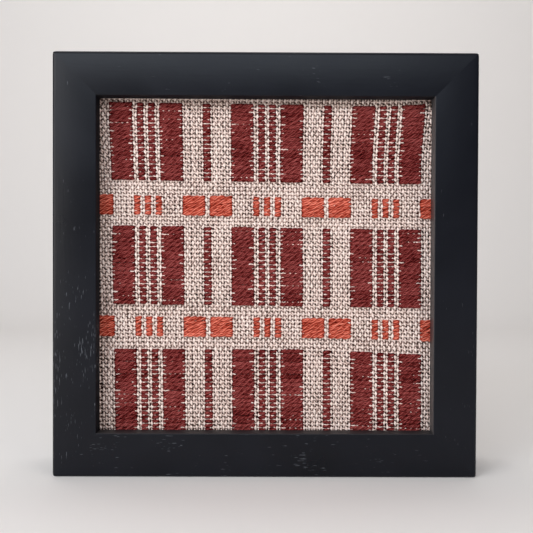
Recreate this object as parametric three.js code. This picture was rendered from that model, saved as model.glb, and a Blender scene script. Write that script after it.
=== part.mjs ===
// A small square box frame of black painted wood that holds a handwoven cloth panel.
// Millimetres, +Z up. The front faces -Y, and the back of the rails lies at y = 0.
// The origin is the middle of the top rail's back face, where the frame meets what holds it up.

import * as THREE from "three";

// Frame
const OUTER = 150; // side of the square
const DEPTH = 30; // front to back
const RAIL_FACE = 15.5; // width of a rail as seen from the front
const LIP_DEPTH = 6; // thickness of the lip that covers the cloth's edge
const REBATE = 4.5; // how far the lip reaches in past the wall of the rail
const OUTER_EASE = 1.2; // rounding of the outer front arris
const INNER_EASE = 0.3; // rounding of the front arris round the opening
const BACK_EASE = 0.5; // rounding of the outer back arris
const ARRIS_STEPS = 3;

// Cloth and board
const PANEL = 127; // side of the cut cloth and of the board behind it
const CLOTH_GROUND = 1.9; // thickness of the plain weave and of the floats behind it
const FLOAT_RAISE = 0.5; // how far the pattern floats stand above the plain weave
const FLOAT_RAMP = 0.2; // half the width of the step at the edge of a block of floats
const BOARD_THICKNESS = 3;
const GAP = 0.3; // clearance between pieces that meet

// Threading of the warp from left to right, in two blocks of ends
const EDGE = [{ block: "B", ends: 8 }];
const MOTIF = [
  { block: "A", ends: 8 },
  { block: "B", ends: 2 },
  { block: "A", ends: 2 },
  { block: "B", ends: 2 },
  { block: "A", ends: 2 },
  { block: "B", ends: 2 },
  { block: "A", ends: 8 },
];
const BETWEEN = [
  { block: "B", ends: 8 },
  { block: "A", ends: 2 },
  { block: "B", ends: 8 },
];
const THREADING = [EDGE, MOTIF, BETWEEN, MOTIF, BETWEEN, MOTIF, EDGE].flat();

// Bands of weft from the bottom up. floats names the block of ends that the pattern weft covers.
const WEFT_BANDS = [
  { floats: "A", height: 32.9 },
  { floats: "none", height: 4.4 },
  { floats: "B", height: 7.0 },
  { floats: "none", height: 4.3 },
  { floats: "A", height: 28.3 },
  { floats: "none", height: 4.0 },
  { floats: "B", height: 7.0 },
  { floats: "none", height: 5.4 },
  { floats: "A", height: 27.9 },
  { floats: "none", height: 5.9 },
];

// Places worked out from the sizes
const WALL = RAIL_FACE - REBATE;
const LIP_BACK = DEPTH - LIP_DEPTH;
const MITRE_INSET = GAP / Math.SQRT2;
const CLOTH_FRONT = -(LIP_BACK - GAP - FLOAT_RAISE);
const CLOTH_BACK = CLOTH_FRONT + CLOTH_GROUND;
const BOARD_FRONT = CLOTH_BACK + GAP;
const CENTRE_BELOW_ORIGIN = OUTER / 2 - WALL / 2;

const blackPaint = new THREE.MeshStandardMaterial({
  color: 0x1d1d20,
  roughness: 0.45,
  metalness: 0,
});
const cottonCloth = new THREE.MeshStandardMaterial({
  color: 0xb98f80,
  roughness: 0.95,
  metalness: 0,
});
const hardboard = new THREE.MeshStandardMaterial({
  color: 0x7d5d40,
  roughness: 0.85,
  metalness: 0,
});

// Section of a rail: x runs from the outside of the frame inwards, y from the back forwards.
function railSection() {
  const section = new THREE.Shape();
  section.moveTo(BACK_EASE, 0);
  section.lineTo(WALL, 0);
  section.lineTo(WALL, LIP_BACK);
  section.lineTo(RAIL_FACE, LIP_BACK);
  section.lineTo(RAIL_FACE, DEPTH - INNER_EASE);
  section.quadraticCurveTo(RAIL_FACE, DEPTH, RAIL_FACE - INNER_EASE, DEPTH);
  section.lineTo(OUTER_EASE, DEPTH);
  section.quadraticCurveTo(0, DEPTH, 0, DEPTH - OUTER_EASE);
  section.lineTo(0, BACK_EASE);
  section.quadraticCurveTo(0, 0, BACK_EASE, 0);
  return section;
}

// The top rail about the frame's centre, its ends cut to the mitre.
function railGeometry() {
  const geometry = new THREE.ExtrudeGeometry(railSection(), {
    depth: 1,
    bevelEnabled: false,
    curveSegments: ARRIS_STEPS,
  });
  const points = geometry.getAttribute("position");
  for (let i = 0; i < points.count; i++) {
    const inward = points.getX(i);
    const forward = points.getY(i);
    const along = 0.5 - points.getZ(i);
    const length = OUTER - 2 * inward - 2 * MITRE_INSET;
    points.setXYZ(i, along * length, -forward, OUTER / 2 - inward);
  }
  geometry.computeVertexNormals();
  return geometry;
}

// Stretches of a row of sizes, centred on zero, each with the row's own columns.
function stretches(rows, sizeOf) {
  const total = rows.reduce((sum, row) => sum + sizeOf(row), 0);
  let start = -PANEL / 2;
  return rows.map((row) => {
    const end = start + (sizeOf(row) * PANEL) / total;
    const stretch = { ...row, start, end };
    start = end;
    return stretch;
  });
}

// Grid lines just inside each end of every stretch, with the outermost lines on the cloth's edge.
function gridLines(parts) {
  const lines = parts.flatMap((part) => [
    { at: part.start + FLOAT_RAMP, part },
    { at: part.end - FLOAT_RAMP, part },
  ]);
  lines[0].at = -PANEL / 2;
  lines[lines.length - 1].at = PANEL / 2;
  return lines;
}

// A flat sheet whose front is raised wherever a band's pattern weft floats over a block of ends.
function clothGeometry() {
  const columns = gridLines(stretches(THREADING, (row) => row.ends));
  const rows = gridLines(stretches(WEFT_BANDS, (row) => row.height));
  const vertices = [];
  const faces = [];
  for (const column of columns) {
    for (const row of rows) {
      const raised = column.part.block === row.part.floats;
      vertices.push(column.at, CLOTH_FRONT - (raised ? FLOAT_RAISE : 0), row.at);
    }
  }
  const front = (i, j) => i * rows.length + j;
  const lastColumn = columns.length - 1;
  const lastRow = rows.length - 1;
  for (let i = 0; i < lastColumn; i++) {
    for (let j = 0; j < lastRow; j++) {
      faces.push(front(i, j), front(i + 1, j), front(i + 1, j + 1));
      faces.push(front(i, j), front(i + 1, j + 1), front(i, j + 1));
    }
  }

  // The rim runs round the front from the lower left corner, and the sides go straight back from it.
  const rim = [];
  for (let i = 0; i < lastColumn; i++) rim.push(front(i, 0));
  for (let j = 0; j < lastRow; j++) rim.push(front(lastColumn, j));
  for (let i = lastColumn; i > 0; i--) rim.push(front(i, lastRow));
  for (let j = lastRow; j > 0; j--) rim.push(front(0, j));
  const firstBack = vertices.length / 3;
  for (const p of rim) vertices.push(vertices[3 * p], CLOTH_BACK, vertices[3 * p + 2]);
  const backCentre = vertices.length / 3;
  vertices.push(0, CLOTH_BACK, 0);
  rim.forEach((p, k) => {
    const next = (k + 1) % rim.length;
    const q = rim[next];
    const pBack = firstBack + k;
    const qBack = firstBack + next;
    faces.push(p, pBack, qBack);
    faces.push(p, qBack, q);
    faces.push(backCentre, qBack, pBack);
  });

  const geometry = new THREE.BufferGeometry();
  geometry.setAttribute("position", new THREE.Float32BufferAttribute(vertices, 3));
  geometry.setIndex(faces);
  geometry.computeVertexNormals();
  return geometry;
}

function namedMesh(name, geometry, material) {
  const mesh = new THREE.Mesh(geometry, material);
  mesh.name = name;
  return mesh;
}

// The whole is built about the frame's centre, below the origin.
const frame = new THREE.Group();
frame.position.z = -CENTRE_BELOW_ORIGIN;

const rail = railGeometry();
["rail_top", "rail_right", "rail_bottom", "rail_left"].forEach((name, quarter) => {
  const mesh = namedMesh(name, rail, blackPaint);
  mesh.rotation.y = (quarter * Math.PI) / 2;
  frame.add(mesh);
});

frame.add(namedMesh("cloth", clothGeometry(), cottonCloth));

const board = namedMesh(
  "backing_board",
  new THREE.BoxGeometry(PANEL, BOARD_THICKNESS, PANEL),
  hardboard,
);
board.position.y = BOARD_FRONT + BOARD_THICKNESS / 2;
frame.add(board);

const part = new THREE.Group();
part.add(frame);

export default part;
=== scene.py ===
"""A handwoven overshot cloth panel in a small black wooden box frame.

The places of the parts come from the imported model. The cloth is woven here yarn by yarn: a cream warp and
a cream ground weft in plain weave, and two-ply pattern wefts in maroon and orange that float in front of
one block of warp ends and pass behind the other.
"""

import math
from collections import namedtuple

import bpy
import numpy as np
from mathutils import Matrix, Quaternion, Vector


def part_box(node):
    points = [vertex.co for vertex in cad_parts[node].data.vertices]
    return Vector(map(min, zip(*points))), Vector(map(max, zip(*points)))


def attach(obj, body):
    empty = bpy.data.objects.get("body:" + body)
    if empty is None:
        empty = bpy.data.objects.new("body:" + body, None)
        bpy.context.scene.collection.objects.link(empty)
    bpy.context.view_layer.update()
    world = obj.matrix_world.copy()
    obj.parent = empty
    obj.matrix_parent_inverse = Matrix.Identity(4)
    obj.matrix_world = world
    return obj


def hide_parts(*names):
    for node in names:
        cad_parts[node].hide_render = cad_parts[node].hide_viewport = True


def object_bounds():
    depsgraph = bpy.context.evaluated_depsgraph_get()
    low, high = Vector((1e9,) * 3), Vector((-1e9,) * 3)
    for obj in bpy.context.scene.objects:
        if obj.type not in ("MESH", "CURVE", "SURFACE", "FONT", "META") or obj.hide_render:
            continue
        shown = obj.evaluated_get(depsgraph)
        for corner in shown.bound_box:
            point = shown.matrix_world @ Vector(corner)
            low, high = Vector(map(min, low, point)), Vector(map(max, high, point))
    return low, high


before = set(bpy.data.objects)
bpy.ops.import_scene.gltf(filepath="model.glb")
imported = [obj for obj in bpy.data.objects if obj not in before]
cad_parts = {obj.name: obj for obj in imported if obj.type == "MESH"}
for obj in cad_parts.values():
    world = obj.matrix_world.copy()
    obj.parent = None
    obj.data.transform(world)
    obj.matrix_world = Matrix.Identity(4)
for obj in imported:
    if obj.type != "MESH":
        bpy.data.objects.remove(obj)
cad_low, cad_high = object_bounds()

MM = 0.001
SEED = 7
rng = np.random.default_rng(SEED)

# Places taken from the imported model, in metres, and the side of the cloth in mm
rail_low, rail_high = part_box("rail_top")
cloth_low, cloth_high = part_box("cloth")
board_low, board_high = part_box("backing_board")
HALF_OUTER = (cad_high.x - cad_low.x) / 2
CENTRE_Z = (cad_high.z + cad_low.z) / 2
FRONT_Y = cad_low.y
BACK_Y = cad_high.y
RAIL_FACE = rail_high.z - rail_low.z
PANEL = (cloth_high.x - cloth_low.x) / MM

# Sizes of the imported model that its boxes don't give
CLEARANCE = 0.3 * MM
REBATE = 4.5 * MM
LIP_BACK_Y = cloth_low.y - CLEARANCE

# Threading of the warp from left to right: block of ends, number of ends
Stretch = namedtuple("Stretch", "block ends")
EDGE = (Stretch("B", 8),)
MOTIF = (
    Stretch("A", 8),
    Stretch("B", 2),
    Stretch("A", 2),
    Stretch("B", 2),
    Stretch("A", 2),
    Stretch("B", 2),
    Stretch("A", 8),
)
BETWEEN = (Stretch("B", 8), Stretch("A", 2), Stretch("B", 8))
THREADING = EDGE + MOTIF + BETWEEN + MOTIF + BETWEEN + MOTIF + EDGE

# Bands of weft from the top down: name, block that the pattern weft covers, height in mm, ground picks
Band = namedtuple("Band", "name floats height picks")
BANDS = (
    Band("plain_1", "", 5.9, 4),
    Band("maroon_band_1", "A", 27.9, 19),
    Band("plain_2", "", 5.4, 4),
    Band("orange_band_1", "B", 7.0, 5),
    Band("plain_3", "", 4.0, 3),
    Band("maroon_band_2", "A", 28.3, 19),
    Band("plain_4", "", 4.3, 3),
    Band("orange_band_2", "B", 7.0, 5),
    Band("plain_5", "", 4.4, 3),
    Band("maroon_band_3", "A", 32.9, 22),
)

# The middle of the weave lies behind the tops of the floats.
WEAVE_DEPTH = 1.2 * MM
WEAVE_Y = cloth_low.y + WEAVE_DEPTH

# Warp ends, in mm. A swell is a share of an end's own width.
WARP_HALF_WIDTH = 0.29
WARP_HALF_THICK = 0.27
WARP_CRIMP = 0.40  # forward and back, over and under the ground picks
WARP_CROWN_SWELL = 0.45  # where the end lies over a pick
WARP_LEAN = 0.05  # sideways between two picks, to and fro in turn
WARP_SLANT = 0.05  # sideways between two picks, one way going over and the other going under
LEAN_UNEVEN = 0.5
PAIR_SHIFT = 0.05  # apart within each pair of ends
WARP_STRAY = 0.06
WARP_PRESS = 0.34  # back, where floats cover the end
GROUND_LIFT = 0.25  # forward, where floats cover the ends beside it
PAIR_SWELL = 0.14  # of a narrow stretch between floats
LEFT_ENDS = 8  # ends beside the left rail
LEFT_SWELL = 0.20
WARP_STEPS = 3  # for each pick

# Ground picks, in mm
TABBY_HALF_WIDTH = 0.35
TABBY_HALF_THICK = 0.26
TABBY_CRIMP = 0.29
TABBY_SLANT = 0.09  # up or down between two ends
TABBY_SQUEEZE = 0.40  # share of the size lost between pattern picks
TABBY_PRESS = 0.25  # back, between pattern picks
TABBY_STEPS = 2  # for each end

# Where a ground pick goes in between the floats of a block, in ends
SINK_REACH = 0.4
LIFT_REACH = 0.5
ROOT_REACH = 0.4
TOOTH_RISE = 0.5

# Teeth of ground picks that reach in over the floats. Lengths are in ends, heights in mm.
TOOTH_LENGTH = 1.5
TOOTH_TAPER = 0.6
SHORT_TOOTH = 0.65  # share of the length where the pick goes under the first end
TOOTH_HEIGHT = {"A": 0.88, "B": 0.60}
NARROW_TOOTH_DROP = 0.10
NARROW_TOOTH_CRIMP = 0.16

# Ground picks that show between the floats as dots: how far they rise in mm, and the drift that raises them
SHOW_LIFT = {"A": 0.78, "B": 0.0}
SHOW_FROM = 0.6
SHOW_FADE = 0.5

# Pattern yarns, in mm. A ply lies flatter where it passes behind the other.
PLIES = 2
PLY_HALF_WIDTH = 0.47
PLY_HALF_THICK = 0.30
PLY_SPREAD = 0.40  # above and below the middle of the pick
PLY_FLATTEN = 0.36
PLY_ROUND = 0.06  # lost from the half width in front of the other ply
PLY_STACK = 0.14  # in front of and behind the middle of the pick
STACK_BEHIND = 0.5  # share of that where the pick lies behind the other block
TURN_UNEVEN = 0.06
FLOAT_HEIGHT = 0.70
FLOAT_BEHIND = 0.80
DIVE = 0.36  # half the length of the slope at the edge of a block
BEHIND_SHIFT = 0.62  # down, behind the other block
BEHIND_REACH = 1.0
EDGE_SIZE = 0.74  # share of the size at the edge of a block
EDGE_SWELL = 0.7
EDGE_SHADE = 0.75

# Floats over narrow stretches
NARROW_ENDS = 3  # at most
NARROW_SIZE = 0.96
NARROW_SPREAD = 0.28
NARROW_FLATTEN = 0.28
NARROW_REACH = 0.10

# Steps along a pattern pick, in mm
EDGE_NEAR = 0.2
EDGE_FAR = 0.45
FLOAT_STEP = 0.5
BEHIND_STEP = 1.0

# Shade of the yarns, as steps along their colour ramps
# Painted highlight on the warp's crowns, and painted shade where it dives low
WARP_CROWN_PAINTED_HIGHLIGHT = 0.56
CROWN_MIDDLE = 0.4
WARP_LOW_PAINTED_SHADE = -0.40
# Painted shade on the ground picks, which lie lower, with painted highlights on their crowns and teeth and
# more painted shade where they are squeezed
TABBY_PAINTED_SHADE = -0.17
TABBY_CROWN_PAINTED_HIGHLIGHT = 0.16
SQUEEZED_PAINTED_SHADE = -0.10
TOOTH_PAINTED_HIGHLIGHT = 0.20
UNEVEN_TONE = 0.11
# Painted shadow of the left rail's lip on the yarns beside it
LEFT_PAINTED_SHADOW = -0.12
# Painted shade where a float dives at a block's edge
EDGE_PAINTED_SHADE = -0.36
# Painted light: the ply in front is lighter and the ply behind it darker
FRONT_PLY_PAINTED_LIGHT = 0.06
PLY_TONE_UNEVEN = 0.07

# Slow drifts along the yarns: number of knots, size in the unit of what drifts
END_PLACE_DRIFT = (45, 0.08)
GROUND_SIZE_DRIFT = (60, 0.07)
GROUND_TONE_DRIFT = (8, 0.05)
TABBY_PLACE_DRIFT = (60, 0.06)
TOOTH_LENGTH_DRIFT = (40, 0.35)
TOOTH_HEIGHT_DRIFT = (60, 0.16)
SHOW_DRIFT = (14, 1.0)
FLOAT_EDGE_DRIFT = (70, 0.06)
FLOAT_PLACE_DRIFT = (24, 0.06)
PLY_ANGLE_DRIFT = (30, 0.4)
PLY_SIZE_DRIFT = (50, 0.04)
PLY_TONE_DRIFT = (20, 0.08)

YARN_SIDES = 5

# Margins of each yarn in the map for baking, as shares of its length and of its row
BAKE_END_MARGIN = 0.002
BAKE_ROW_MARGIN = 0.04

# How unevenly the cloth sits in its frame, in mm
SHIFT_RIGHT = 0.46
LEAN = 0.72  # to the right, on the way down
LEFT_LEAN = 0.75  # more of it at the left edge
RIGHT_PULL = 0.40  # to the left, at the right edge
RIGHT_FLARE = 2.1  # to the right, at the top of the right edge
FLARE_REACH = 30.0
LIFT = 0.2
ROW_SLOPE = 0.70  # up at the left edge, down at the right one
LOW_RIGHT_DROP = 1.3
LOW_LEFT_DROP = 0.7
TOP_RIGHT_LIFT = 2.2
TOP_RIGHT_REACH = 12.0
HIDDEN_MARGIN = 3.2  # under the lip, where the cloth lies straight again
FLOAT_SWELL = 0.19
SWELL_FADE = 1.5

# Where the unevenness begins and how far it takes to grow, as shares of the cloth's side: from the top for
# the first three, and from the middle for the right corners
LEAN_FROM = 0.13
LOW_FROM = 0.62
LOW_GROWTH = 0.16
LOW_RIGHT_FROM = 0.15
LOW_RIGHT_GROWTH = 0.35
TOP_RIGHT_FROM = 0.3
TOP_RIGHT_GROWTH = 0.2

# Share of the swell at the edge between two stretches: ends of block A, ends of block B
SWELL_SHARE = {(8, 8): 0.5, (2, 8): 1.0}

# How far the cloth's left edge wanders to the right: share of the way down, mm
LEFT_WAVE = (
    (0.0, 0.0),
    (0.09, -0.6),
    (0.2, 0.0),
    (0.33, 0.5),
    (0.5, 0.0),
    (0.66, 0.3),
    (0.8, 0.35),
    (1.0, 0.3),
)


def smooth(x):
    """Eased step from 0 to 1."""
    x = np.clip(x, 0.0, 1.0)
    return x * x * (3.0 - 2.0 * x)


def wander(rows, steps, knots, size):
    """A slow random drift along each of several rows."""
    coarse = rng.normal(0.0, size, (rows, knots + 2))
    at = np.linspace(0.0, knots, steps)
    low = at.astype(int)
    part = smooth(at - low)
    return coarse[:, low] * (1.0 - part) + coarse[:, low + 1] * part


def unit(vectors):
    """The same vectors with a length of 1."""
    return vectors / np.linalg.norm(vectors, axis=-1, keepdims=True)


# The order of the yarns. A cell is the height of one ground pick, and of the pattern pick beside it.
Cell = namedtuple("Cell", "band floats top height")
stretch_ends = np.array([stretch.ends for stretch in THREADING])
end_blocks = np.repeat([stretch.block for stretch in THREADING], stretch_ends)
ends_in_stretch = np.repeat(stretch_ends, stretch_ends)
END_COUNT = len(end_blocks)
END_PITCH = PANEL / END_COUNT

cells = []
cell_top = 0.0
BAND_SCALE = PANEL / sum(band.height for band in BANDS)
for band in BANDS:
    cell_height = band.height * BAND_SCALE / band.picks
    for _ in range(band.picks):
        cells.append(Cell(band.name, band.floats, cell_top, cell_height))
        cell_top += cell_height
cell_tops = np.array([cell.top for cell in cells])
cell_heights = np.array([cell.height for cell in cells])
cell_floats = np.array([cell.floats for cell in cells])
CELL_COUNT = len(cells)

# Floats push the ends beside them apart: places across the cloth, and which way the ends there are pushed
# where block A is covered. The other way round holds where block B is covered.
swell_places = []
swell_sides = []
ends_so_far = 0
ends_before = 0
for block, ends in THREADING:
    away = -1.0 if block == "A" else 1.0
    ends_of_both = (ends, ends_before) if block == "A" else (ends_before, ends)
    swell_places += [ends_so_far * END_PITCH, (ends_so_far + ends / 2) * END_PITCH]
    swell_sides += [away * SWELL_SHARE.get(ends_of_both, 0.0), 0.0]
    ends_so_far += ends
    ends_before = ends


def covered(down):
    """1 where block A is covered, -1 where block B is, and eased in between."""
    total = np.zeros_like(down)
    for band in BANDS:
        if band.floats:
            sign = 1.0 if band.floats == "A" else -1.0
            own = [cell for cell in cells if cell.band == band.name]
            bottom = own[-1].top + own[-1].height
            depth = np.minimum(down - own[0].top, bottom - down)
            total = total + sign * smooth(0.5 + depth / (2 * SWELL_FADE))
    return total


def settled(across, down):
    """Where a point of the ideal weave lies in the uneven cloth."""
    x = across / PANEL - 0.5
    z = down / PANEL
    left = np.clip(-2.0 * x, 0.0, 1.0)
    right = np.clip(2.0 * x, 0.0, 1.0)
    low = smooth((z - LOW_FROM) / LOW_GROWTH)
    low_right = smooth((x - LOW_RIGHT_FROM) / LOW_RIGHT_GROWTH)
    top_right = smooth((x - TOP_RIGHT_FROM) / TOP_RIGHT_GROWTH) * np.exp(-down / TOP_RIGHT_REACH)
    shift = SHIFT_RIGHT + LEAN * (z - LEAN_FROM) + left * LEFT_LEAN * (2.0 * z - 1.0)
    shift += left**2 * np.interp(z, *zip(*LEFT_WAVE))
    shift += FLOAT_SWELL * covered(down) * np.interp(across, swell_places, swell_sides)
    shift += right * (RIGHT_FLARE * smooth(1.0 - down / FLARE_REACH) - RIGHT_PULL)
    drop = ROW_SLOPE * 2.0 * x - LIFT
    drop += low * (LOW_RIGHT_DROP * low_right + LOW_LEFT_DROP * left)
    drop -= TOP_RIGHT_LIFT * top_right
    inside_x = smooth(np.minimum(across, PANEL - across) / HIDDEN_MARGIN)
    inside_z = smooth(np.minimum(down, PANEL - down) / HIDDEN_MARGIN)
    return across + shift * inside_x, down + drop * inside_z


def to_world(across, down, out):
    """Points of the cloth, in mm across, down and towards the viewer, in the shared frame."""
    across, down = settled(across, down)
    x = (across - PANEL / 2) * MM
    y = WEAVE_Y - out * MM
    z = CENTRE_Z + (PANEL / 2 - down) * MM
    return np.stack([x, y, z], axis=-1)


def mesh_object(name, points, faces, uv_maps, attributes, material):
    """An object whose mesh comes from arrays: faces is a list of arrays of one face size each."""
    mesh = bpy.data.meshes.new(name)
    corners = np.concatenate([f.ravel() for f in faces]).astype(np.int32)
    totals = np.concatenate([np.full(len(f), f.shape[1]) for f in faces]).astype(np.int32)
    starts = np.concatenate([[0], np.cumsum(totals)[:-1]]).astype(np.int32)
    mesh.vertices.add(len(points))
    mesh.vertices.foreach_set("co", points.astype(np.float32).ravel())
    mesh.loops.add(len(corners))
    mesh.loops.foreach_set("vertex_index", corners)
    mesh.polygons.add(len(totals))
    mesh.polygons.foreach_set("loop_start", starts)
    mesh.polygons.foreach_set("use_smooth", np.ones(len(totals), bool))
    for uv_name, uv in uv_maps.items():
        layer = mesh.uv_layers.new(name=uv_name)
        layer.uv.foreach_set("vector", uv.astype(np.float32).ravel())
    for attribute_name, values in attributes.items():
        layer = mesh.attributes.new(attribute_name, "FLOAT", "POINT")
        layer.data.foreach_set("value", values.astype(np.float32).ravel())
    mesh.update()
    mesh.validate()
    obj = bpy.data.objects.new(name, mesh)
    bpy.context.scene.collection.objects.link(obj)
    obj.data.materials.append(material)
    return obj


def yarn_object(name, centres, half_width, half_thick, tone, material):
    """Many yarns as closed tubes in one mesh. Each array has a row for each yarn, a column for each step."""
    yarns, steps, _ = centres.shape
    facing = np.array([0.0, -1.0, 0.0])
    along = unit(np.gradient(centres, axis=1))
    side = unit(np.cross(along, facing))
    out = np.cross(side, along)
    angle = math.pi / 2 + 2.0 * math.pi * np.arange(YARN_SIDES) / YARN_SIDES
    ring = half_width[:, :, None, None] * np.cos(angle)[:, None] * side[:, :, None, :]
    ring = ring + half_thick[:, :, None, None] * np.sin(angle)[:, None] * out[:, :, None, :]
    points = centres[:, :, None, :] + ring * MM

    number = np.arange(yarns * steps * YARN_SIDES).reshape(yarns, steps, YARN_SIDES)
    turned = np.roll(number, -1, axis=2)
    quads = np.stack([number[:, :-1], number[:, 1:], turned[:, 1:], turned[:, :-1]], axis=-1)
    quads = quads.reshape(-1, 4)
    caps = np.concatenate([number[:, 0], number[:, -1, ::-1]])

    # One map runs in mm along the yarn and once round it, and the other lays the yarns out in rows.
    length = np.linalg.norm(np.diff(centres, axis=1), axis=2).cumsum(axis=1) / MM
    length = np.concatenate([np.zeros((yarns, 1)), length], axis=1)
    row, step, turn, _ = np.ogrid[:yarns, : steps - 1, :YARN_SIDES, :4]
    step = step + np.array([0, 1, 1, 0])
    turn = (turn + np.array([0, 0, 1, 1])) / YARN_SIDES
    row, step, turn = np.broadcast_arrays(row, step, turn)
    own = np.stack([length[row, step], turn], axis=-1).reshape(-1, 2)
    laid_along = BAKE_END_MARGIN + (1.0 - 2.0 * BAKE_END_MARGIN) * step / (steps - 1)
    laid_across = (row + BAKE_ROW_MARGIN + (1.0 - 2.0 * BAKE_ROW_MARGIN) * turn) / yarns
    laid = np.stack([laid_along, laid_across], axis=-1).reshape(-1, 2)
    cap_own = np.zeros((caps.size, 2))
    cap_laid = np.tile(laid[:1], (caps.size, 1))
    maps = {
        "Yarn": np.concatenate([own, cap_own]),
        "OFBake": np.concatenate([laid, cap_laid]),
    }
    # The mesh holds uneven tone at random together with painted highlights and painted shade
    tones_and_painted_light = np.repeat(tone[:, :, None], YARN_SIDES, axis=2)
    obj = mesh_object(name, points.reshape(-1, 3), [quads, caps], maps, {"tone": tones_and_painted_light}, material)
    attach(obj, "root")
    return obj


# Materials

# The range that most of a noise lies in
NOISE_LOW = 0.3
NOISE_HIGH = 0.7


class Shading:
    """A new material, with short ways to add nodes to it."""

    def __init__(self, name):
        self.material = bpy.data.materials.new(name)
        self.material.use_nodes = True
        self.tree = self.material.node_tree
        self.shader = self.tree.nodes["Principled BSDF"]

    def put(self, node, inputs):
        """Link or set a node's inputs, by name or by number."""
        for key, value in inputs.items():
            if isinstance(value, bpy.types.NodeSocket):
                self.tree.links.new(value, node.inputs[key])
            else:
                node.inputs[key].default_value = value

    def add(self, kind, inputs, **settings):
        """A new node with its settings and its inputs."""
        node = self.tree.nodes.new(kind)
        for key, value in settings.items():
            setattr(node, key, value)
        self.put(node, inputs)
        return node

    def math(self, operation, first, second=0.0):
        """The outcome of one sum on two values."""
        return self.add("ShaderNodeMath", {0: first, 1: second}, operation=operation).outputs[0]

    def about_zero(self, factor, size):
        """A factor of 0 to 1 moved to swing about zero, and sized."""
        return self.math("MULTIPLY", self.math("SUBTRACT", factor, 0.5), size)

    def place(self):
        """The point in the shared frame, in metres."""
        return self.add("ShaderNodeNewGeometry", {}).outputs["Position"]

    def uv(self, name):
        """A place on one of the piece's maps."""
        return self.add("ShaderNodeUVMap", {}, uv_map=name).outputs["UV"]

    def attribute(self, name):
        """A value that the mesh holds at each point."""
        return self.add("ShaderNodeAttribute", {}, attribute_name=name).outputs["Fac"]

    def stretched(self, uv, along, across):
        """A map scaled apart along and across the grain."""
        inputs = {"Vector": uv, "Scale": (along, across, 1.0)}
        return self.add("ShaderNodeMapping", inputs).outputs["Vector"]

    def noise(self, vector, scale, detail, roughness=0.5):
        """A soft random factor of 0 to 1."""
        inputs = {"Vector": vector, "Scale": scale, "Detail": detail, "Roughness": roughness}
        return self.add("ShaderNodeTexNoise", inputs).outputs["Fac"]

    def map_range(self, value, low, high, new_low, new_high):
        """A value moved from one range to another."""
        inputs = {
            "Value": value,
            "From Min": low,
            "From Max": high,
            "To Min": new_low,
            "To Max": new_high,
        }
        return self.add("ShaderNodeMapRange", inputs).outputs["Result"]

    def mix(self, factor, first, second):
        """One colour mixed into another."""
        inputs = {"Factor": factor, "A": first, "B": second}
        return self.add("ShaderNodeMix", inputs, data_type="RGBA").outputs["Result"]

    def ramp(self, factor, stops):
        """A colour ramp: stops are (place, colour)."""
        node = self.add("ShaderNodeValToRGB", {"Fac": factor})
        elements = node.color_ramp.elements
        while len(elements) < len(stops):
            elements.new(0.5)
        for element, (place, colour) in zip(elements, stops):
            element.position = place
            element.color = (*colour, 1.0)
        return node.outputs["Color"]

    def bump(self, height, strength, distance):
        """Fine relief that the light shows."""
        inputs = {"Height": height, "Strength": strength, "Distance": distance}
        return self.add("ShaderNodeBump", inputs).outputs["Normal"]


# How far the strands, fibres and blotches of a yarn change its shade and its relief
DEEP_SHADE = 0.25  # of the dark colour, at the foot of the ramp
FIBRE_SHADE = 0.85
BLOTCH_SHADE = 0.4
STRAND_RELIEF = 0.6
FIBRE_RELIEF = 0.9


def yarn_material(name, dark, middle, light, twist, strands, strand_painted_light):
    """Spun cotton: strands that wind round the yarn, with painted light on their ridges and painted shade in
    their grooves, fine fibres, a shade that drifts along it, and the painted highlights and painted shade
    that the mesh holds with its uneven tone.
    """
    yarn = Shading(name)
    parts = yarn.add("ShaderNodeSeparateXYZ", {"Vector": yarn.uv("Yarn")})
    turns = yarn.math("MULTIPLY", parts.outputs["X"], 1.0 / twist)
    wound = yarn.math("ADD", turns, parts.outputs["Y"])
    strand = yarn.math("SINE", yarn.math("MULTIPLY", wound, 2.0 * math.pi * strands))
    place = yarn.place()
    fibre = yarn.noise(place, scale=5000.0, detail=3.0, roughness=0.65)
    blotch = yarn.noise(place, scale=160.0, detail=2.0)
    # Painted light: the strands' ridges are lighter and the grooves between them darker, on top of their
    # relief
    shade = yarn.math("ADD", yarn.math("MULTIPLY", strand, strand_painted_light), 0.5)
    shade = yarn.math("ADD", shade, yarn.about_zero(fibre, FIBRE_SHADE))
    shade = yarn.math("ADD", shade, yarn.about_zero(blotch, BLOTCH_SHADE))
    # The mesh's values bring uneven tone at random together with painted highlights and painted shade
    shade = yarn.math("ADD", shade, yarn.attribute("tone"))
    deep = [DEEP_SHADE * channel for channel in dark]
    strand_relief = yarn.math("MULTIPLY", strand, STRAND_RELIEF)
    fibre_relief = yarn.math("MULTIPLY", fibre, FIBRE_RELIEF)
    relief = yarn.math("ADD", strand_relief, fibre_relief)
    looks = {
        "Base Color": yarn.ramp(shade, [(0.0, deep), (0.2, dark), (0.5, middle), (0.9, light)]),
        "Normal": yarn.bump(relief, strength=0.5, distance=0.05 * MM),
        "Roughness": 0.9,
        "Specular IOR Level": 0.02,
    }
    yarn.put(yarn.shader, looks)
    return yarn.material


CREAM = yarn_material(
    "cream_cotton",
    dark=(0.485, 0.342, 0.292),
    middle=(0.80, 0.635, 0.575),
    light=(0.97, 0.835, 0.77),
    twist=-2.4,
    strands=2,
    strand_painted_light=0.26,
)
MAROON = yarn_material(
    "maroon_cotton",
    dark=(0.066, 0.005, 0.005),
    middle=(0.150, 0.0190, 0.0180),
    light=(0.325, 0.078, 0.072),
    twist=-8.0,
    strands=3,
    strand_painted_light=0.28,
)
ORANGE = yarn_material(
    "orange_cotton",
    dark=(0.26, 0.023, 0.0125),
    middle=(0.465, 0.073, 0.042),
    light=(0.81, 0.240, 0.170),
    twist=-8.0,
    strands=3,
    strand_painted_light=0.30,
)

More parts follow.
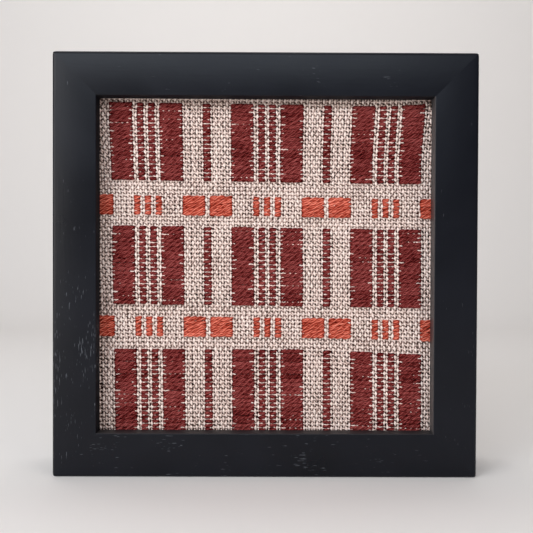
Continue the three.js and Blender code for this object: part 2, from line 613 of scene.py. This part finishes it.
# The pattern yarn of the bands that cover each block: mm of yarn to a turn of its plies, how far in mm its
# floats reach past the edge of the block, and the painted shade that darkens it behind the cloth
PatternYarn = namedtuple("PatternYarn", "turn reach behind_tone material slot")
PATTERN_YARNS = {
    "A": PatternYarn(3.0, 0.20, -0.25, MAROON, "maroon_cotton"),
    "B": PatternYarn(4.5, 0.05, -0.40, ORANGE, "orange_cotton"),
}

# Colours, thresholds and roughness of the paint
PAINT_DARK = (0.0030, 0.0035, 0.0058)
PAINT_LIGHT = (0.0056, 0.0065, 0.0106)
SCUFF_COLOUR = (0.092, 0.098, 0.112, 1.0)
# Painted highlight along a rail's inner arris
ARRIS_PAINTED_HIGHLIGHT_COLOUR = (0.075, 0.070, 0.071, 1.0)
WEAR_GAIN = 0.14
PATCH_GAIN = 0.5
DASH_FROM = 0.64
DASH_FULL = 0.72
PAINT_ROUGHNESS = (0.27, 0.36)
RECESS_ROUGHNESS = 0.5


def paint_material():
    """Satin black paint over open-grained wood, with short worn dashes along the grain and a painted
    highlight along the inner arris.
    """
    paint = Shading("black_paint")
    uv = paint.uv("Grain")
    grain = paint.noise(paint.stretched(uv, along=60.0, across=1400.0), scale=1.0, detail=4.0)
    dash = paint.noise(paint.stretched(uv, along=300.0, across=3000.0), scale=1.0, detail=1.0)
    patch = paint.noise(uv, scale=85.0, detail=1.0)
    film = paint.noise(uv, scale=420.0, detail=2.0)
    cloud = paint.noise(uv, scale=25.0, detail=3.0)
    unworn = paint.math("SUBTRACT", paint.attribute("wear"), 1.0)
    scuffed = paint.math("MULTIPLY", unworn, WEAR_GAIN)
    scuffed = paint.math("ADD", scuffed, paint.about_zero(patch, PATCH_GAIN))
    scuffed = paint.math("ADD", scuffed, dash)
    dashes = paint.map_range(scuffed, DASH_FROM, DASH_FULL, 0.0, 1.0)
    colour = paint.ramp(cloud, [(NOISE_LOW, PAINT_DARK), (NOISE_HIGH, PAINT_LIGHT)])
    colour = paint.mix(dashes, colour, SCUFF_COLOUR)
    # Painted highlight along the inner arris
    colour = paint.mix(paint.attribute("arris_painted_highlight"), colour, ARRIS_PAINTED_HIGHLIGHT_COLOUR)
    rough = paint.map_range(cloud, NOISE_LOW, NOISE_HIGH, *PAINT_ROUGHNESS)
    dull = paint.math("MULTIPLY", paint.attribute("recess"), RECESS_ROUGHNESS)
    looks = {
        "Base Color": colour,
        "Normal": paint.bump(paint.math("ADD", grain, film), strength=0.25, distance=0.08 * MM),
        "Roughness": paint.math("ADD", rough, dull),
        "Specular IOR Level": 0.2,
    }
    paint.put(paint.shader, looks)
    return paint.material


BOARD_DARK = (0.13, 0.070, 0.032)
BOARD_LIGHT = (0.25, 0.145, 0.072)
BOARD_FIBRE_SHARE = 0.6
BOARD_CLOUD_SHARE = 0.4


def board_material():
    """Bare brown hardboard with short fibres."""
    board = Shading("hardboard")
    place = board.place()
    fibre = board.noise(place, scale=900.0, detail=4.0)
    cloud = board.noise(place, scale=60.0, detail=2.0)
    fibre_shade = board.math("MULTIPLY", fibre, BOARD_FIBRE_SHARE)
    cloud_shade = board.math("MULTIPLY", cloud, BOARD_CLOUD_SHARE)
    shade = board.math("ADD", fibre_shade, cloud_shade)
    looks = {
        "Base Color": board.ramp(shade, [(NOISE_LOW, BOARD_DARK), (NOISE_HIGH, BOARD_LIGHT)]),
        "Normal": board.bump(fibre, strength=0.3, distance=0.1 * MM),
        "Roughness": 0.75,
    }
    board.put(board.shader, looks)
    return board.material


# Painted shade seen through the holes of the weave
WEB_PAINTED_SHADE_DARK = (0.115, 0.055, 0.040)
WEB_PAINTED_SHADE_LIGHT = (0.25, 0.15, 0.115)


def web_material():
    """The fibres at the back of the weave, coloured with the painted shade seen through its holes."""
    web = Shading("weave_shadow")
    fibre = web.noise(web.place(), scale=1400.0, detail=3.0)
    looks = {
        "Base Color": web.ramp(fibre, [(NOISE_LOW, WEB_PAINTED_SHADE_DARK), (NOISE_HIGH, WEB_PAINTED_SHADE_LIGHT)]),
        "Roughness": 0.95,
        "Specular IOR Level": 0.1,
    }
    web.put(web.shader, looks)
    return web.material


PAINT = paint_material()
HARDBOARD = board_material()
SHADOW = web_material()


# Rails

ARRIS_STEPS = 6
OUTER_EASE = 1.2 * MM
INNER_EASE = 0.3 * MM
BACK_EASE = 0.5 * MM
CORNER_EASE = 1.5 * MM
SHARP_DEGREES = 40

# Rings along a rail, in mm from its ends: closest round the frame's corners
RINGS_FROM_END = (0.0, 0.3, 0.6, 0.9, 1.2, 1.5, 1.9, 2.5, 4.0, 8.0, 14.0, 22.0, 31.0, 41.0, 52.0, 64.0)

# How worn the paint is at even steps along each rail, going clockwise round the front
RAIL_WEAR = {
    "rail_top": (0.0,),
    "rail_right": (0.0,),
    "rail_bottom": (0.1, 0.4, 0.5, 0.3, 0.3),
    "rail_left": (0.3, 0.6, 1.3, 0.6, 0.3, 0.05, 0.0, 0.0, 0.0),
}

# How dull each rail's walls inside the opening and the rebate are, and how strong the painted highlight
# along its inner arris is
RAIL_RECESS = {"rail_top": 0.8, "rail_right": 0.05, "rail_bottom": 0.4, "rail_left": 1.0}
RAIL_ARRIS_PAINTED_HIGHLIGHT = {"rail_top": 0.0, "rail_right": 1.0, "rail_bottom": 0.4, "rail_left": 0.0}

# Points of the section: its walls inside the opening and the rebate come first.
RECESS_POINTS = 4
LIP_POINT = 2
LIP_ARRIS_PAINTED_HIGHLIGHT = 0.3


def arc(centre, radius, start_deg, end_deg):
    """Points round part of a circle."""
    angles = np.radians(np.linspace(start_deg, end_deg, ARRIS_STEPS + 1))
    return [(centre[0] + radius * math.cos(a), centre[1] + radius * math.sin(a)) for a in angles]


def rail_section():
    """The rail's section: inwards from the outside of the frame, and forwards from its back."""
    depth = BACK_Y - FRONT_Y
    lip_back = BACK_Y - LIP_BACK_Y
    wall = RAIL_FACE - REBATE
    section = [(wall, 0.0), (wall, lip_back), (RAIL_FACE, lip_back)]
    section += arc((RAIL_FACE - INNER_EASE, depth - INNER_EASE), INNER_EASE, 0, 90)
    section += arc((OUTER_EASE, depth - OUTER_EASE), OUTER_EASE, 90, 180)
    section += arc((BACK_EASE, BACK_EASE), BACK_EASE, 180, 270)
    return np.array(section)


def rail_points(section, stations, quarter):
    """A rail's points, with a row for each station and a column for each point of the section. It is made
    as the top rail, its outer corners are rounded, and it is turned by quarters about the frame's centre."""
    inward, forward = section[:, 0], section[:, 1]
    x = -stations[:, None] * (HALF_OUTER - inward)
    y = np.broadcast_to(BACK_Y - forward, x.shape)
    z = np.broadcast_to(HALF_OUTER - inward, x.shape)
    bend = HALF_OUTER - CORNER_EASE
    over_x = np.abs(x) - bend
    over_z = z - bend
    reach = np.hypot(over_x, over_z)
    cut = (over_x > 0) & (over_z > 0) & (reach > CORNER_EASE)
    shrink = CORNER_EASE / np.where(cut, reach, CORNER_EASE)
    x = np.where(cut, np.sign(x) * (bend + over_x * shrink), x)
    z = np.where(cut, bend + over_z * shrink, z)
    turn = quarter * math.pi / 2
    world_x = x * math.cos(turn) + z * math.sin(turn)
    world_z = -x * math.sin(turn) + z * math.cos(turn) + CENTRE_Z
    return np.stack([world_x, y, world_z], axis=-1)


def grain_map(section, along):
    """Where the corners of a rail's quads lie on the wood, in metres along it and round its section."""
    around = np.linalg.norm(np.diff(section, axis=0, append=section[:1]), axis=1)
    girth = np.append(0.0, np.cumsum(around))
    start, end = along[:-1, None], along[1:, None]
    corners = ((start, girth[:-1]), (start, girth[1:]), (end, girth[1:]), (end, girth[:-1]))
    return np.stack([np.stack(np.broadcast_arrays(*c), axis=-1) for c in corners], axis=2)


def rail_object(name, quarter):
    """One mitred rail, with its wear, its dull inner walls and a painted highlight along its inner arris."""
    section = rail_section()
    offsets = np.array(RINGS_FROM_END) * MM
    stations = np.concatenate([offsets, 2 * HALF_OUTER - offsets[::-1]]) / HALF_OUTER - 1.0
    points = rail_points(section, stations, quarter)

    rows, columns, _ = points.shape
    number = np.arange(rows * columns).reshape(rows, columns)
    turned = np.roll(number, -1, axis=1)
    quads = np.stack([number[:-1], turned[:-1], turned[1:], number[1:]], axis=-1).reshape(-1, 4)
    caps = np.stack([number[0, ::-1], number[-1]])

    # The rails lie a metre apart in the grain, so that no two are alike.
    grain = grain_map(section, stations * HALF_OUTER + quarter).reshape(-1, 2)
    maps = {"Grain": np.concatenate([grain, np.zeros((caps.size, 2))])}

    clockwise = (1.0 - stations) / 2
    wear = np.interp(clockwise, np.linspace(0.0, 1.0, len(RAIL_WEAR[name])), RAIL_WEAR[name])
    recess = RAIL_RECESS[name] * (np.arange(columns) < RECESS_POINTS)
    arris_painted_highlight = np.zeros(columns)
    # Painted highlight on the lip and along the inner arris
    arris_painted_highlight[LIP_POINT] = LIP_ARRIS_PAINTED_HIGHLIGHT
    arris_painted_highlight[LIP_POINT + 1 : LIP_POINT + 2 + ARRIS_STEPS] = np.linspace(1.0, 0.0, ARRIS_STEPS + 1)
    attributes = {
        "wear": np.broadcast_to(wear[:, None], number.shape),
        "recess": np.broadcast_to(recess, number.shape),
        "arris_painted_highlight": np.broadcast_to(RAIL_ARRIS_PAINTED_HIGHLIGHT[name] * arris_painted_highlight, number.shape),
    }
    obj = mesh_object("painted_" + name, points.reshape(-1, 3), [quads, caps], maps, attributes, PAINT)
    obj.data.set_sharp_from_angle(angle=math.radians(SHARP_DEGREES))
    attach(obj, "root")
    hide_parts(name)
    return obj


for quarter, rail in enumerate(("rail_top", "rail_right", "rail_bottom", "rail_left")):
    rail_object(rail, quarter)


# Board

CORNER_STEPS = 5
BOARD_CORNER = 1.0 * MM
BOARD_EASE = 0.3 * MM


def slab_object(name, low, high, corner, ease, material):
    """A flat rectangular board with rounded corners and eased edges, as rings through its thickness."""
    turns = np.radians(np.linspace(0.0, 90.0, CORNER_STEPS + 1))
    insets = np.append(2.0 * ease, ease * (1.0 - np.sin(turns)))
    depths = np.append(0.0, ease * (1.0 - np.cos(turns)))
    insets = np.concatenate([insets, insets[::-1]])
    levels = np.concatenate([low.y + depths, high.y - depths[::-1]])
    angles = np.concatenate([turns + quarter * math.pi / 2 for quarter in range(4)])
    right = np.repeat([1.0, -1.0, -1.0, 1.0], len(turns))
    up = np.repeat([1.0, 1.0, -1.0, -1.0], len(turns))
    middle = (low + high) / 2
    half = (high - low) / 2
    radius = corner - insets[:, None]
    x = middle.x + right * (half.x - corner) + radius * np.cos(angles)
    z = middle.z + up * (half.z - corner) + radius * np.sin(angles)
    y = np.broadcast_to(levels[:, None], x.shape)
    points = np.stack([x, y, z], axis=-1)

    number = np.arange(x.size).reshape(x.shape)
    turned = np.roll(number, -1, axis=1)
    quads = np.stack([number[:-1], number[1:], turned[1:], turned[:-1]], axis=-1).reshape(-1, 4)
    caps = np.stack([number[0], number[-1, ::-1]])
    obj = mesh_object(name, points.reshape(-1, 3), [quads, caps], {}, {}, material)
    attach(obj, "root")
    return obj


board = slab_object("hardboard_panel", board_low, board_high, BOARD_CORNER, BOARD_EASE, HARDBOARD)
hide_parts("backing_board")


# Cloth

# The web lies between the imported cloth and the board.
WEB_FRONT_Y = cloth_high.y + 0.05 * MM
WEB_BACK_Y = cloth_high.y + 0.2 * MM
WEB_CORNER = 0.2 * MM
WEB_EASE = 0.05 * MM


def web_object():
    """The thin web of fibres behind the yarns, the size of the cut cloth, dark with painted shade for the
    holes.
    """
    low = Vector((cloth_low.x, WEB_FRONT_Y, cloth_low.z))
    high = Vector((cloth_high.x, WEB_BACK_Y, cloth_high.z))
    web = slab_object("cloth_web", low, high, WEB_CORNER, WEB_EASE, SHADOW)
    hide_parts("cloth")
    return web


def warp_object(name, block):
    """The ends of one block: over and under the ground picks, and pressed back where floats cover them."""
    ends = np.flatnonzero(end_blocks == block)
    part = np.append(np.tile(np.arange(WARP_STEPS) / WARP_STEPS, CELL_COUNT), 1.0)
    cell = np.append(np.repeat(np.arange(CELL_COUNT), WARP_STEPS), CELL_COUNT - 1)
    steps = len(cell)
    over = np.where((ends[:, None] + cell[None, :]) % 2 == 0, 1.0, -1.0)
    swing = over * np.cos(math.pi * part)
    lift = np.where(cell_floats == "", 0.0, np.where(cell_floats == block, -WARP_PRESS, GROUND_LIFT))
    before = np.maximum(cell - 1, 0)
    lifted = np.where(part == 0.0, (lift[before] + lift[cell]) / 2, lift[cell])
    out = WARP_CRIMP * swing + lifted

    lean = WARP_LEAN * np.where(cell % 2 == 0, 1.0, -1.0) + WARP_SLANT * over
    lean = lean * (1.0 + wander(len(ends), steps, CELL_COUNT, LEAN_UNEVEN))
    apart = PAIR_SHIFT * np.where(ends % 2 == 0, -1.0, 1.0)
    stray = rng.uniform(-WARP_STRAY, WARP_STRAY, (len(ends), 1))
    across = (ends[:, None] + 0.5) * END_PITCH + apart[:, None] + stray
    across = across + lean * np.sin(math.pi * part) + wander(len(ends), steps, *END_PLACE_DRIFT)
    down = np.broadcast_to(cell_tops[cell] + part * cell_heights[cell], across.shape)

    crown = np.maximum(0.0, swing)
    low = np.maximum(0.0, -swing)
    in_pair = (ends_in_stretch[ends] <= NARROW_ENDS)[:, None]
    at_left = (ends < LEFT_ENDS)[:, None]
    size = 1.0 + wander(len(ends), steps, *GROUND_SIZE_DRIFT) + WARP_CROWN_SWELL * crown
    size = size + PAIR_SWELL * in_pair * (lifted > 0.0) + LEFT_SWELL * at_left
    tone = wander(len(ends), steps, *GROUND_TONE_DRIFT) + wander(len(ends), steps, CELL_COUNT, UNEVEN_TONE)
    # Painted highlight on the crowns, painted shade where the end dives, and painted shadow beside the left
    # rail
    tone = tone + WARP_CROWN_PAINTED_HIGHLIGHT * (crown - CROWN_MIDDLE) + WARP_LOW_PAINTED_SHADE * low + LEFT_PAINTED_SHADOW * at_left
    centres = to_world(across, down, out)
    half_thick = WARP_HALF_THICK * np.sqrt(size)
    return yarn_object(name, centres, WARP_HALF_WIDTH * size, half_thick, tone, CREAM)


def float_line(block):
    """Places across the cloth for the steps of a pattern pick, closest where it dives at a block's edge."""
    edges = np.append(0.0, np.cumsum(stretch_ends)) * END_PITCH
    places = []
    for stretch, start, end in zip(THREADING, edges[:-1], edges[1:]):
        step = FLOAT_STEP if stretch.block == block else BEHIND_STEP
        count = max(1, round((end - start - 2 * EDGE_FAR) / step))
        inner = np.linspace(start + EDGE_FAR, end - EDGE_FAR, count + 1)
        places += [start, start + EDGE_NEAR, *inner, end - EDGE_NEAR]
    return np.array(places + [PANEL])


def depth_in_block(across, block):
    """For places across the cloth: the signed distance in mm from the nearest edge of the block's stretches,
    positive inside them, whether the stretch at that edge is narrow, and the end just inside the edge."""
    inside = np.array([stretch.block == block for stretch in THREADING])
    edge_ends = np.cumsum(stretch_ends)[:-1]
    nearest = np.abs(across[:, None] - edge_ends[None, :] * END_PITCH).argmin(axis=1)
    beyond = across - edge_ends[nearest] * END_PITCH
    opens = inside[nearest + 1]
    depth = np.where(opens, beyond, -beyond)
    narrow = np.where(opens, stretch_ends[nearest + 1], stretch_ends[nearest]) <= NARROW_ENDS
    first_end = np.where(opens, edge_ends[nearest], edge_ends[nearest] - 1)
    return depth, narrow, first_end


def tabby_object(name, picks):
    """Ground picks, under and over the ends in turn, squeezed between the pattern picks of a block."""
    steps = END_COUNT * TABBY_STEPS + 1
    at = np.arange(steps) / TABBY_STEPS
    end = np.minimum(at.astype(int), END_COUNT - 1)
    over = np.where((picks[:, None] + end[None, :]) % 2 == 0, -1.0, 1.0)
    swing = over * np.sin(math.pi * (at - end))
    out = TABBY_CRIMP * swing
    size = 1.0 + wander(len(picks), steps, *GROUND_SIZE_DRIFT)
    tone = wander(len(picks), steps, *GROUND_TONE_DRIFT) + wander(len(picks), steps, END_COUNT, UNEVEN_TONE)
    # Painted shade on the lower ground picks, painted highlight on their crowns, and painted shadow beside
    # the left rail
    tone = tone + TABBY_PAINTED_SHADE + TABBY_CROWN_PAINTED_HIGHLIGHT * np.maximum(0.0, swing) + LEFT_PAINTED_SHADOW * (end < LEFT_ENDS)

    length = TOOTH_LENGTH * (1.0 + wander(len(picks), steps, *TOOTH_LENGTH_DRIFT))
    uneven = 1.0 + wander(len(picks), steps, *TOOTH_HEIGHT_DRIFT)
    showing = smooth((wander(len(picks), steps, *SHOW_DRIFT) - SHOW_FROM) / SHOW_FADE)
    for floats, height in TOOTH_HEIGHT.items():
        depth, narrow, first_end = depth_in_block(at * END_PITCH, floats)
        depth = depth / END_PITCH
        goes_over = (picks[:, None] + first_end[None, :]) % 2 == 1
        reach = length * np.where(goes_over, 1.0, SHORT_TOOTH)
        between = ((cell_floats[picks] == floats) & (cell_floats[picks - 1] == floats))[:, None]
        inside = between * smooth(depth / SINK_REACH)
        root = between * smooth(1.0 + depth / ROOT_REACH)
        tooth = between * smooth(0.5 + depth / TOOTH_RISE) * smooth((reach - depth) / TOOTH_TAPER)
        level = height * uneven + narrow * (NARROW_TOOTH_CRIMP * swing - NARROW_TOOTH_DROP)
        sunk = (SHOW_LIFT[floats] * showing - TABBY_PRESS) * inside
        out = out + GROUND_LIFT * between * smooth(-depth / LIFT_REACH)
        out = out * (1.0 - tooth) + level * tooth + sunk * (1.0 - tooth)
        size = size - np.maximum(inside, root) * TABBY_SQUEEZE
        # Painted shade where the pick is squeezed between floats, and painted highlight on its raised teeth
        tone = tone + inside * SQUEEZED_PAINTED_SHADE + tooth * TOOTH_PAINTED_HIGHLIGHT

    across = np.broadcast_to(at * END_PITCH, out.shape)
    down = cell_tops[picks][:, None] + wander(len(picks), steps, *TABBY_PLACE_DRIFT)
    down = down - TABBY_SLANT * over * np.cos(math.pi * (at - end))
    centres = to_world(across, down, out)
    half_width = TABBY_HALF_WIDTH * size
    half_thick = TABBY_HALF_THICK * size
    return yarn_object(name, centres, half_width, half_thick, tone, CREAM)


def pattern_object(band, yarn):
    """The pattern picks of one band, each of a few plies wound round each other."""
    picks = np.array([i for i, cell in enumerate(cells) if cell.band == band.name])
    line = float_line(band.floats)
    steps = len(line)
    depth, narrow, _ = depth_in_block(line, band.floats)
    depth = depth + wander(len(picks), steps, *FLOAT_EDGE_DRIFT)
    reach = yarn.reach + NARROW_REACH * narrow
    rise = smooth((depth + reach + DIVE) / (2 * DIVE))
    middle_out = -FLOAT_BEHIND + (FLOAT_HEIGHT + FLOAT_BEHIND) * rise
    middle_down = (cell_tops[picks] + cell_heights[picks] / 2)[:, None]
    middle_down = middle_down + wander(len(picks), steps, *FLOAT_PLACE_DRIFT)
    middle_down = middle_down + BEHIND_SHIFT * smooth(-depth / BEHIND_REACH)

    turns = line / (yarn.turn * (1.0 + rng.normal(0.0, TURN_UNEVEN, (len(picks), 1))))
    turns = turns + rng.uniform(0.0, 1.0, (len(picks), 1))
    angle = 2.0 * math.pi * turns + wander(len(picks), steps, *PLY_ANGLE_DRIFT)
    stack = PLY_STACK * (STACK_BEHIND + (1.0 - STACK_BEHIND) * rise)
    spread = np.where(narrow, NARROW_SPREAD, PLY_SPREAD)
    flatten = np.where(narrow, NARROW_FLATTEN, PLY_FLATTEN)
    swollen = EDGE_SIZE + (1.0 - EDGE_SIZE) * smooth((depth + reach) / EDGE_SWELL)
    size = np.where(narrow, NARROW_SIZE, swollen) + wander(len(picks), steps, *PLY_SIZE_DRIFT)
    # Painted shade where a float dives at a block's edge, and where it passes behind the cloth
    edge_painted_shade = EDGE_PAINTED_SHADE * (1.0 - smooth((depth + reach) / EDGE_SHADE))
    behind_tone = yarn.behind_tone * smooth(-depth / EDGE_SHADE)
    centres = []
    widths = []
    tones_and_painted_light = []
    for ply in range(PLIES):
        ply_angle = angle + 2.0 * math.pi * ply / PLIES
        front = np.sin(ply_angle)
        down = middle_down + spread * np.cos(ply_angle)
        out = middle_out + stack * front
        across = np.broadcast_to(line, down.shape)
        centres.append(to_world(across, down, out))
        flatter = flatten * np.maximum(0.0, -front)
        rounder = PLY_ROUND * np.maximum(0.0, front)
        widths.append(PLY_HALF_WIDTH * size + flatter - rounder)
        shade = wander(len(picks), steps, *PLY_TONE_DRIFT)
        shade = shade + rng.normal(0.0, PLY_TONE_UNEVEN, (len(picks), 1))
        # The front ply is painted lighter and the back ply darker, as painted light
        tones_and_painted_light.append(shade + edge_painted_shade + FRONT_PLY_PAINTED_LIGHT * front + behind_tone)
    return yarn_object(
        band.name,
        np.concatenate(centres),
        np.concatenate(widths),
        PLY_HALF_THICK * np.concatenate([size] * PLIES),
        np.concatenate(tones_and_painted_light),
        yarn.material,
    )


web = web_object()
half_way = CELL_COUNT // 2
yarns = [
    warp_object("warp_block_a", "A"),
    warp_object("warp_block_b", "B"),
    tabby_object("tabby_upper", np.arange(half_way)),
    tabby_object("tabby_lower", np.arange(half_way, CELL_COUNT)),
]
yarns += [pattern_object(band, PATTERN_YARNS[band.floats]) for band in BANDS if band.floats]


# Stage, light and camera

STAGE_HALF_WIDTH = 1.6
STAGE_FRONT_Y = -1.6
STAGE_WALL_Y = 0.75
STAGE_BEND = 0.25
STAGE_BEND_STEPS = 12
STAGE_TOP = 1.4
STAGE_COLOUR = (0.84, 0.81, 0.79, 1.0)


def stage_object():
    """A pale floor that sweeps up into a backdrop well behind the frame."""
    floor_z = cad_low.z
    pale = Shading("pale_stage")
    pale.put(pale.shader, {"Base Color": STAGE_COLOUR, "Roughness": 0.9})
    profile = [(STAGE_FRONT_Y, floor_z)]
    for turn in np.radians(np.linspace(-90, 0, STAGE_BEND_STEPS + 1)):
        y = STAGE_WALL_Y - STAGE_BEND + STAGE_BEND * math.cos(turn)
        z = floor_z + STAGE_BEND + STAGE_BEND * math.sin(turn)
        profile.append((y, z))
    profile.append((STAGE_WALL_Y, STAGE_TOP))
    points = [(x, y, z) for y, z in profile for x in (-STAGE_HALF_WIDTH, STAGE_HALF_WIDTH)]
    faces = [(2 * i, 2 * i + 1, 2 * i + 3, 2 * i + 2) for i in range(len(profile) - 1)]
    mesh = bpy.data.meshes.new("stage")
    mesh.from_pydata(points, [], faces)
    mesh.polygons.foreach_set("use_smooth", [True] * len(faces))
    obj = bpy.data.objects.new("stage", mesh)
    obj.data.materials.append(pale.material)
    bpy.context.scene.collection.objects.link(obj)


# Area lights: place and aim from the middle of the frame's front in metres, width and height in metres,
# watts, colour, and whether reflections show them
Light = namedtuple("Light", "name place aim width height watts colour shows")
LIGHTS = (
    Light("key", (-0.55, -0.50, 0.10), (0.0, 0.0, 0.0), 0.55, 0.6, 4.25, (1.0, 0.97, 0.94), True),
    Light("fill", (0.55, -0.55, 0.25), (0.0, 0.0, 0.0), 0.6, 0.6, 1.8, (1.0, 0.90, 0.81), False),
    Light("sheen", (-0.24, -0.85, 0.48), (0.0, 0.0, 0.0), 1.1, 0.35, 5.3, (0.80, 0.89, 1.0), True),
    Light("above", (-0.1, -0.02, 0.75), (0.0, 0.0, 0.0), 0.7, 0.5, 1.4, (1.0, 0.98, 0.96), True),
    Light("backdrop", (0.0, 0.2, 0.7), (0.0, 0.8, 0.0), 0.8, 0.3, 2.0, (1.0, 0.98, 0.96), True),
)


def area_light(light, centre):
    """A soft rectangular light, placed and aimed from a centre."""
    data = bpy.data.lights.new(light.name, "AREA")
    data.shape = "RECTANGLE"
    data.size = light.width
    data.size_y = light.height
    data.energy = light.watts
    data.color = light.colour
    place = centre + Vector(light.place)
    aim = centre + Vector(light.aim)
    obj = bpy.data.objects.new(light.name, data)
    obj.location = place
    obj.rotation_euler = (aim - place).to_track_quat("-Z", "Y").to_euler()
    obj.visible_glossy = light.shows
    bpy.context.scene.collection.objects.link(obj)


stage_object()
centre = Vector((0.0, FRONT_Y, CENTRE_Z))
for light in LIGHTS:
    area_light(light, centre)

ROOM_COLOUR = (0.95, 0.97, 1.0, 1.0)
ROOM_STRENGTH = 0.10

world = bpy.data.worlds.new("soft_room")
world.use_nodes = True
world.node_tree.nodes["Background"].inputs["Color"].default_value = ROOM_COLOUR
world.node_tree.nodes["Background"].inputs["Strength"].default_value = ROOM_STRENGTH
bpy.context.scene.world = world
bpy.context.scene.view_settings.view_transform = "Standard"

# The camera, in metres from the middle of the frame's front, and its lens in mm
CAMERA_DISTANCE = 0.2691
CAMERA_LEFT = 0.0009
CAMERA_ABOVE = 0.0035
CAMERA_ROLL = math.radians(0.22)
AIM_RIGHT = 0.0004
AIM_BELOW = 0.0004
LENS = 51.66
SENSOR_WIDTH = 36.0
CLIP_START = 0.01

camera_data = bpy.data.cameras.new("camera")
camera_data.sensor_width = SENSOR_WIDTH
camera_data.lens = LENS
camera_data.clip_start = CLIP_START
camera = bpy.data.objects.new("camera", camera_data)
camera.location = centre + Vector((-CAMERA_LEFT, -CAMERA_DISTANCE, CAMERA_ABOVE))
aim = centre + Vector((AIM_RIGHT, 0.0, -AIM_BELOW))
facing = (aim - camera.location).to_track_quat("-Z", "Y") @ Quaternion((0.0, 0.0, 1.0), CAMERA_ROLL)
camera.rotation_euler = facing.to_euler()
bpy.context.scene.collection.objects.link(camera)
bpy.context.scene.camera = camera
